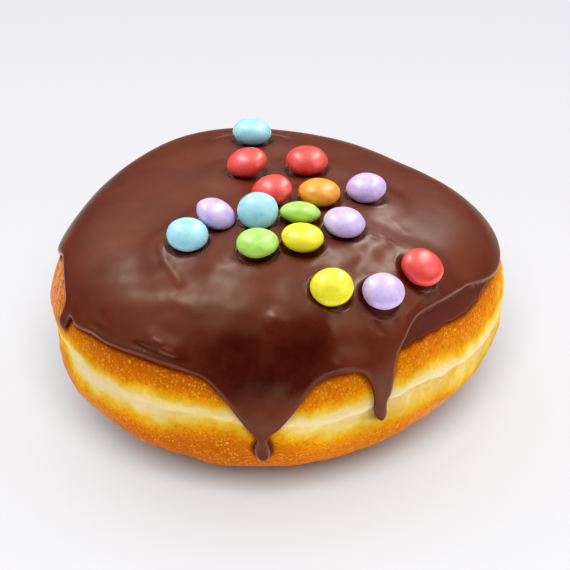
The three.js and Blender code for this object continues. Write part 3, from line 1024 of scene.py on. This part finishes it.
def give(piece, name, values):
    """Gives the points of a piece values that its material reads. Points past the last get 0."""
    padded = np.zeros(len(piece.data.vertices), np.float32)
    padded[:len(values)] = values
    piece.data.attributes.new(name, "FLOAT", "POINT").data.foreach_set("value", padded)


def make_icing():
    outer, inner = icing_places()
    flat, faces = sheet_faces(outer, inner)
    count = len(outer)
    directions, levels = CHART.lift(flat)
    points = ball(directions, levels)
    found = [LIP_EDGE.find(p) for p in points]
    nearest, to_lip = np.array([f[0][:] for f in found]), np.array([f[2] for f in found])
    to_edge = distance_to(ICING_EDGE, points)
    beside_film = (directions > FILM_REACH[0]) & (directions < FILM_REACH[1])
    film = beside_film & (points[:, 2] < lip_height(directions) - 1e-3)
    height, rolled = icing_height(directions, points, to_lip)
    thin = FILM_THICKNESS * smooth_step(-0.06, 0.06, to_edge)
    height = np.where(film, thin, np.maximum(height, np.where(beside_film, thin, 0)))
    height[:count] = -EDGE_DEPTH
    # The thick edge bulges out a little over the crust.
    bulge = (0.26 - 0.1 * rolled) * hump(to_lip, 0.2, 0.26) * smooth_step(0, 0.1, to_lip) * ~film
    out = nearest - points
    out /= np.maximum(np.linalg.norm(out, axis=1), 1e-3)[:, None]
    placed = points + ball_normal(directions, levels) * height[:, None] + out * bulge[:, None]
    # Under it lies a plain coarse lining that closes the piece.
    under_flat, under_faces = sheet_faces(outer, lining_places(outer))
    below = CHART.lift(under_flat)
    under = ball(*below) - ball_normal(*below) * LINING_DEPTH
    joined = np.where(under_faces < count, under_faces, under_faces + len(placed) - count)
    piece = piece_from("icing_cap", np.vstack([placed, under[count:]]),
                       faces.tolist() + joined[:, ::-1].tolist(), chocolate())
    # It is thin in the film. Painted shade darkens it on the lower front, in the bead's groove and
    # round the lentils' marks.
    in_front = stretch(244, 262, 280, 290, directions)
    deep = in_front * stretch(28.5, 33, 40, 48, placed[:, 2])
    deep = deep + 0.8 * rolled * hump(to_lip, 2.0, 0.6) * (1 - in_front)
    # Painted shade round each lentil's mark, where the lentil shades the icing.
    to_mark = np.maximum(lentil_marks(points).min(axis=0), 0)
    give(piece, "thin", film * smooth_step(0.1, 0.8, to_lip))
    give(piece, "deep", np.maximum(deep, 0.75 * hump(to_mark, 0, 0.9)))
    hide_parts("icing")
    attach(piece, "root")


# ---- Dough ----

DOUGH_SIDES, DOUGH_RINGS = 660, 128
# The levels at which its rings lie, closer in the band, as (ring, level) from the underside up.
DOUGH_LEVELS = ((0, -1.0), (10, -0.86), (22, -0.62), (84, 0.13), (108, 0.42), (120, 0.7), (128, 1.0))
# Short upright folds in the band's lower half, as (direction, lean in degrees per mm, height in mm).
UPRIGHT_FOLDS = (
    (315.8, 0.25, 0.4), (307, -0.3, 0.16), (296, 0.2, 0.12), (331, 0.3, 0.2), (228, 0.3, 0.14),
    (248, -0.4, 0.2), (20, 0.2, 0.25), (75, -0.3, 0.2), (140, 0.3, 0.25))


def band_relief(directions, points, top, foot, crease, roll):
    """The roll, crease and puffed crust of the waist band, in mm out from the plain form."""
    height = points[:, 2]
    above = (height - crease) / np.maximum(top - crease + 0.6, 1)
    below = (crease - height) / np.maximum(crease - foot + 0.3, 1)
    stand = roll * np.sin(math.pi * np.clip(above, 0, 1) ** 0.75)
    tuck = 0.75 * roll * np.sin(math.pi * np.clip(below, 0, 1) ** 0.6)
    out = np.where((above > 0) & (above < 1), stand, 0) - np.where((below > 0) & (below < 1), tuck, 0)
    out = out - 0.7 * roll * hump(height, crease, 0.35)
    # The crust puffs up along both edges of the band.
    out = out + 0.28 * hump(height, top + 2.0, 1.6) + 0.3 * hump(height, foot - 1.8, 1.6)
    # Fine folds along the band where the dough stretched, and short upright ones in its lower half.
    in_band = smooth_step(-0.4, 0.8, top - height) * smooth_step(-0.4, 0.8, height - foot)
    out = out + 0.06 * in_band * ripple(points * [0.3, 0.3, 2.4], 4, 22, 24)
    out = out + 0.04 * in_band * ripple(points * [0.3, 0.3, 2.4], 2.2, 24, 24)
    in_lower = np.exp(-((((height - (crease + foot) / 2) / np.maximum(crease - foot, 1)) * 2.2) ** 4))
    for at, lean, size in UPRIGHT_FOLDS:
        out = out + size * in_lower * hump(turn(at, directions), lean * (height - crease), 0.55)
    out = out + 0.05 * in_lower * in_band * ripple(points * [2.2, 2.2, 0.4], 5, 23, 24)
    # A small flap of dough that came loose beside the middle drip.
    flap = np.exp(-((turn(274.2, directions) / 2.2) ** 4))
    out = out + 0.45 * flap * stretch(20.6, 22.4, 22.6, 23.1, height)
    # Flatter sides, where it lay against its neighbours.
    for begin, full, fade, end, middle, tall, flat in FLATS:
        share = stretch(begin, full, fade, end, from_the_back(directions))
        out = out - flat * share * hump(height, middle, tall)
    return out


def browning(piece, directions, height, placed, top, foot, crease, roll):
    """Gives the dough's points the values that its crust is coloured by."""
    around = from_the_back(directions)
    # right marks the side that is made paler and less shaded, as painted light from the right.
    right, far_right = stretch(330, 350, 375, 420, around), stretch(316, 336, 390, 440, around)
    baked = np.maximum(height - top, (foot - height) * 0.8)
    above_edge = smooth_step(0.8, 3, baked)
    front_left = stretch(222, 236, 262, 285, directions)
    # Browner high up under the icing, partly as painted shade there, and browner on the front left;
    # paler on the right, as painted light from that side.
    browning_and_painted_light = np.maximum(height - 31, 0) * 0.45 + (2.4 * front_left - 2.7 * right) * above_edge
    give(piece, "baked", baked + browning_and_painted_light)
    in_band = 1 - smooth_step(-0.3, 1.2, baked)
    pale = hump(height, crease + 0.8, 0.8) * np.clip(roll * 1.5 - 0.25, 0, 0.75) * in_band
    at_left = stretch(205, 214, 236, 250, directions)
    give(piece, "pale", np.maximum(pale, 0.45 * at_left * (1 - smooth_step(-2.4, -0.9, baked))))
    deeper = 0.4 + 0.6 * stretch(275, 320, 375, 420, around)
    yellow = smooth_step(0.0, 0.5, crease - height) * in_band * deeper
    # A yellow line just under the crease: painted shade in the crease.
    line = 0.9 * in_band * np.clip(roll * 2, 0, 1) * hump(height, crease - 0.25, 0.32)
    give(piece, "yellow", np.maximum(yellow, line))
    # Painted shadow: the crust darkens just past where the icing's lip overhangs it, less lower down
    # and less on the right, as painted light there.
    to_icing = distance_to(ICING_EDGE, placed)
    shaded = 0.85 * hump(np.maximum(to_icing - 0.45, 0), 0, 0.6) + 0.15 * np.exp(-to_icing / 1.6)
    shaded = shaded * (1 - 0.75 * hump(height, 26.5, 4)) * (1 - smooth_step(42, 46, height))
    # A small scorched spot beside the little drip at the left.
    spot = 0.6 * hump(turn(208.4, directions), 0, 1.0) * hump(height, 31.6, 0.6)
    give(piece, "shaded", np.maximum(shaded * (1 - 0.6 * right), spot))
    # Salmon flecks low down on both sides and at the far left: a bloom of flour and dried fat, and
    # partly painted sheen where the crust turns away.
    under = foot - height
    low_right = smooth_step(1.5, 4.5, under) * stretch(300, 328, 390, 440, around)
    low_right = np.maximum(low_right, smooth_step(0.4, 2.4, under) * far_right)
    low_left = smooth_step(1.5, 4, under) * stretch(100, 150, 215, 238, around)
    far_left = smooth_step(1, 3, baked) * stretch(140, 175, 202, 214, around)
    give(piece, "dusty", np.maximum(np.maximum(low_right, 0.7 * low_left), far_left))


def make_dough():
    piece = unit_ball(DOUGH_SIDES, DOUGH_RINGS)
    piece.name = "dough_ball"
    unit = points_of(piece)
    directions = directions_of(unit)
    rings = np.round((math.pi / 2 + np.arcsin(np.clip(unit[:, 2], -1, 1))) / math.pi * DOUGH_RINGS)
    levels = np.interp(rings, *np.array(DOUGH_LEVELS, float).T)
    points = ball(directions, levels)
    height = points[:, 2]
    crease = round_the_ball(CREASE, directions) + 0.18 * ripple(points, 7, 21)
    band = [round_the_ball(line, directions) for line in (BAND_TOP, BAND_FOOT)]
    band += [crease, round_the_ball(ROLL, directions)]
    out = band_relief(directions, points, *band)
    out = out + 0.16 * ripple(points, 19, 11) + 0.08 * ripple(points, 8, 12)
    out = (out + 0.03 * ripple(points, 3.4, 13)) * smooth_step(1.5, 6, height)
    # Under the thin film it's smooth, so that it doesn't show through.
    under_film = smooth_step(-0.9, 0, height - np.interp(directions, *np.array(FILM).T))
    under_film = under_film * stretch(299, 302, 344, 347, directions)
    out = out + under_film * (np.minimum(out, -0.04) - out)
    out = out * (1 - smooth_step(38, 42, height)) - HIDDEN_DROP * smooth_step(40, 45, height)
    placed = points + ball_normal(directions, np.clip(levels, -0.97, 0.97)) * out[:, None]
    placed[:, 2] = np.maximum(placed[:, 2], 0)
    put_points(piece, placed)
    piece.data.polygons.foreach_set("use_smooth", [True] * len(piece.data.polygons))
    browning(piece, directions, height, placed, *band)
    piece.data.materials.append(crust())
    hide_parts("dough")
    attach(piece, "root")


# ======== The whole ========

add_camera()
add_light(add_floor())
make_dough()
make_icing()
shells = {colour: sugar_shell(colour) for colour in SHELLS}
lentil_model = model_lentil()
for number, lentil in enumerate(LENTILS):
    make_lentil(lentil, lentil_model, shells, 100 + number)
bpy.data.objects.remove(lentil_model)
